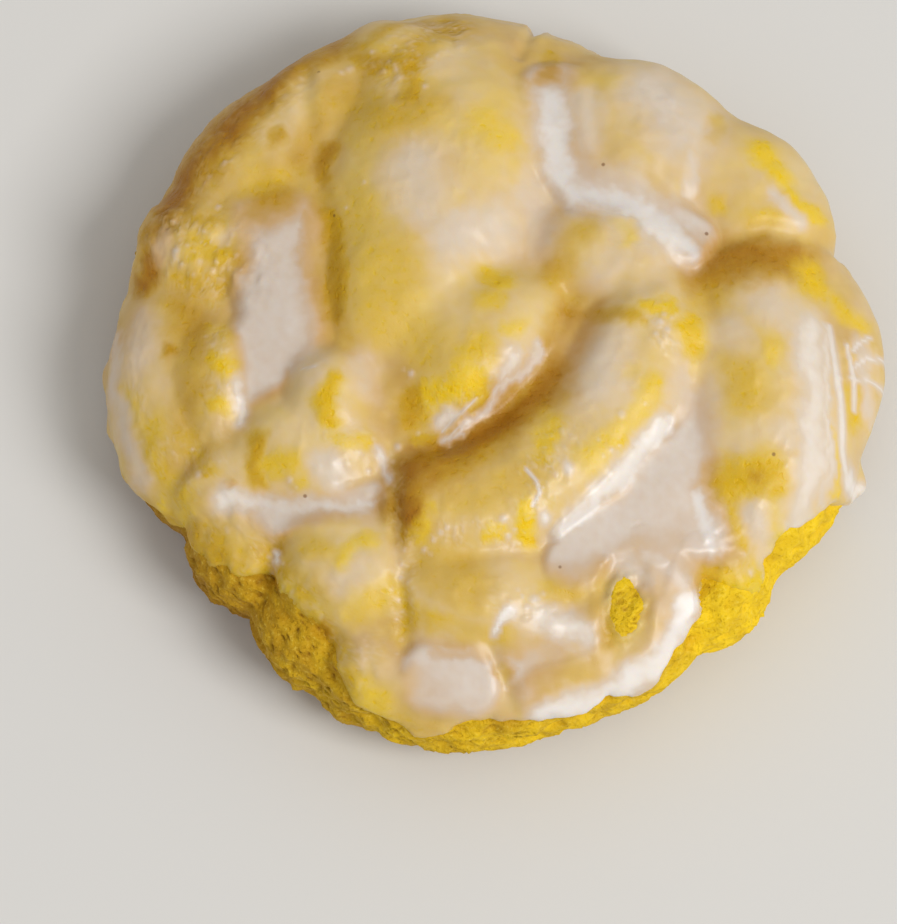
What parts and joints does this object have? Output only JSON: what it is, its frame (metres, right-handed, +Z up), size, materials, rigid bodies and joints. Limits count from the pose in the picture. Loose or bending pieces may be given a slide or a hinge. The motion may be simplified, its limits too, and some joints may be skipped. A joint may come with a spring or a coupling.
{
  "type": "glazed lemon cookie",
  "caption": "Round soft drop cookie with a lumpy, cracked top under a thin poured sugar glaze that pools white between the lumps.",
  "frame": {"origin": "on the surface that the cookie rests on, under the middle of its bounding box", "axes": "+Z up through the cookie's thickness; -Y towards the side nearest the camera in the picture, +X to its right"},
  "size_m": [0.0777, 0.0759, 0.021],
  "materials": {
    "baked_dough": "matte, crumbly golden-yellow baked dough",
    "sugar_glaze": "set sugar glaze, off-white and softly glossy"
  },
  "bodies": {
    "root": {"cookie": "baked_dough", "glaze": "sugar_glaze"}
  },
  "joints": []
}
